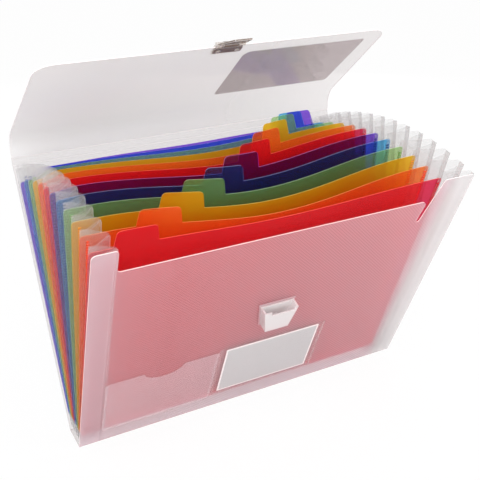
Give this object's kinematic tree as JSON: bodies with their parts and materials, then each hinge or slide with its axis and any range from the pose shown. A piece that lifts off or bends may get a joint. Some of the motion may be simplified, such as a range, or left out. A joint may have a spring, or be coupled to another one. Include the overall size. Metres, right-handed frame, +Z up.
{
  "type": "expanding divider file",
  "caption": "Expanding file with coloured index dividers between pleated side gussets, a folding cover, a bent lid with a clip tongue, and a front catch and label.",
  "frame": {"origin": "middle of the spine panel's underside, on the table", "axes": "+X along the spine to the viewer's right, -Y towards the front panel, +Z up"},
  "size_m": [0.34, 0.2278, 0.3418],
  "materials": {
    "cover": "frosted translucent polypropylene with a fine diagonal emboss",
    "film": "clear polypropylene film",
    "divider_red": "translucent red polypropylene sheet",
    "divider_orange": "translucent orange polypropylene sheet",
    "divider_yellow": "translucent yellow polypropylene sheet",
    "divider_green": "translucent green polypropylene sheet",
    "divider_blue": "translucent blue polypropylene sheet",
    "divider_violet": "translucent violet polypropylene sheet",
    "catch": "off-white moulded plastic",
    "clasp": "clear moulded plastic",
    "metal": "bright pin and rivets",
    "card": "blank matt card"
  },
  "bodies": {
    "spine": {"spine_panel": "cover"},
    "front": {"front_panel": "cover", "catch_plate": "catch", "catch_box": "catch", "catch_rivets": "metal", "label_sleeve": "film", "label_card": "card", "card_pocket": "film", "gusset_01": "film"},
    "divider_01": {"divider_01_red": "divider_red", "gusset_02": "film"},
    "divider_02": {"divider_02_orange": "divider_orange", "gusset_03": "film"},
    "divider_03": {"divider_03_yellow": "divider_yellow", "gusset_04": "film"},
    "divider_04": {"divider_04_green": "divider_green", "gusset_05": "film"},
    "divider_05": {"divider_05_blue": "divider_blue", "gusset_06": "film"},
    "divider_06": {"divider_06_violet": "divider_violet", "gusset_07": "film"},
    "divider_07": {"divider_07_red": "divider_red", "gusset_08": "film"},
    "divider_08": {"divider_08_orange": "divider_orange", "gusset_09": "film"},
    "divider_09": {"divider_09_yellow": "divider_yellow", "gusset_10": "film"},
    "divider_10": {"divider_10_green": "divider_green", "gusset_11": "film"},
    "divider_11": {"divider_11_blue": "divider_blue", "gusset_12": "film"},
    "divider_12": {"divider_12_violet": "divider_violet"},
    "back": {"back_panel": "cover", "gusset_13": "film"},
    "strip": {"hinge_strip": "cover"},
    "lid": {"lid": "cover", "lid_pocket": "film", "clasp_base": "clasp", "clasp_backplate": "clasp", "clasp_rivets": "metal", "clasp_pin": "metal"},
    "tongue": {"clasp_tongue": "clasp"}
  },
  "joints": [
    {"name": "bellows", "type": "hinge", "parent": "spine", "child": "front", "pos_m": [0, -0.0135, 0.00045], "axis": [-1, 0, 0], "range_deg": [0, 22.5], "deforming": ["gusset_01", "gusset_02", "gusset_03", "gusset_04", "gusset_05", "gusset_06", "gusset_07", "gusset_08", "gusset_09", "gusset_10", "gusset_11", "gusset_12", "gusset_13"]},
    {"name": "divider_01_fold", "type": "hinge", "parent": "spine", "child": "divider_01", "pos_m": [0, -0.01155, 0.0008], "axis": [-1, 0, 0], "range_deg": [0, 20.57]},
    {"name": "divider_02_fold", "type": "hinge", "parent": "spine", "child": "divider_02", "pos_m": [0, -0.00945, 0.0008], "axis": [-1, 0, 0], "range_deg": [0, 16.61]},
    {"name": "divider_03_fold", "type": "hinge", "parent": "spine", "child": "divider_03", "pos_m": [0, -0.00735, 0.0008], "axis": [-1, 0, 0], "range_deg": [0, 12.65]},
    {"name": "divider_04_fold", "type": "hinge", "parent": "spine", "child": "divider_04", "pos_m": [0, -0.00525, 0.0008], "axis": [-1, 0, 0], "range_deg": [0, 8.7]},
    {"name": "divider_05_fold", "type": "hinge", "parent": "spine", "child": "divider_05", "pos_m": [0, -0.00315, 0.0008], "axis": [-1, 0, 0], "range_deg": [0, 4.74]},
    {"name": "divider_06_fold", "type": "hinge", "parent": "spine", "child": "divider_06", "pos_m": [0, -0.00105, 0.0008], "axis": [-1, 0, 0], "range_deg": [0, 0.779]},
    {"name": "divider_07_fold", "type": "hinge", "parent": "spine", "child": "divider_07", "pos_m": [0, 0.00105, 0.0008], "axis": [-1, 0, 0], "range_deg": [-3.28, 0]},
    {"name": "divider_08_fold", "type": "hinge", "parent": "spine", "child": "divider_08", "pos_m": [0, 0.00315, 0.0008], "axis": [-1, 0, 0], "range_deg": [-7.24, 0]},
    {"name": "divider_09_fold", "type": "hinge", "parent": "spine", "child": "divider_09", "pos_m": [0, 0.00525, 0.0008], "axis": [-1, 0, 0], "range_deg": [-11.2, 0]},
    {"name": "divider_10_fold", "type": "hinge", "parent": "spine", "child": "divider_10", "pos_m": [0, 0.00735, 0.0008], "axis": [-1, 0, 0], "range_deg": [-15.15, 0]},
    {"name": "divider_11_fold", "type": "hinge", "parent": "spine", "child": "divider_11", "pos_m": [0, 0.00945, 0.0008], "axis": [-1, 0, 0], "range_deg": [-19.11, 0]},
    {"name": "divider_12_fold", "type": "hinge", "parent": "spine", "child": "divider_12", "pos_m": [0, 0.01155, 0.0008], "axis": [-1, 0, 0], "range_deg": [-23.07, 0]},
    {"name": "back_fold", "type": "hinge", "parent": "spine", "child": "back", "pos_m": [0, 0.0135, 0.00045], "axis": [-1, 0, 0], "range_deg": [-23.05, 0]},
    {"name": "lid_fold", "type": "hinge", "parent": "back", "child": "strip", "pos_m": [0, 0.11746, 0.2234], "axis": [1, 0, 0], "range_deg": [-90, 15]},
    {"name": "lid_upper_fold", "type": "hinge", "parent": "strip", "child": "lid", "pos_m": [0, 0.11898, 0.23024], "axis": [1, 0, 0], "range_deg": [-90.05, 15.05]},
    {"name": "tongue_turn", "type": "hinge", "parent": "lid", "child": "tongue", "pos_m": [0, 0.01469, 0.33369], "axis": [1, 0, 0], "range_deg": [-45, 60]}
  ],
  "couplings": [
    {"joint": "divider_01_fold", "follows": "bellows", "ratio": 0.91204},
    {"joint": "divider_02_fold", "follows": "bellows", "ratio": 0.73611},
    {"joint": "divider_03_fold", "follows": "bellows", "ratio": 0.56019},
    {"joint": "divider_04_fold", "follows": "bellows", "ratio": 0.38426},
    {"joint": "divider_05_fold", "follows": "bellows", "ratio": 0.20833},
    {"joint": "divider_06_fold", "follows": "bellows", "ratio": 0.032407},
    {"joint": "divider_07_fold", "follows": "bellows", "ratio": -0.14352},
    {"joint": "divider_08_fold", "follows": "bellows", "ratio": -0.31944},
    {"joint": "divider_09_fold", "follows": "bellows", "ratio": -0.49537},
    {"joint": "divider_10_fold", "follows": "bellows", "ratio": -0.6713},
    {"joint": "divider_11_fold", "follows": "bellows", "ratio": -0.84722},
    {"joint": "divider_12_fold", "follows": "bellows", "ratio": -1.0231},
    {"joint": "back_fold", "follows": "bellows", "ratio": -1.0222},
    {"joint": "lid_upper_fold", "follows": "lid_fold", "ratio": 1}
  ]
}
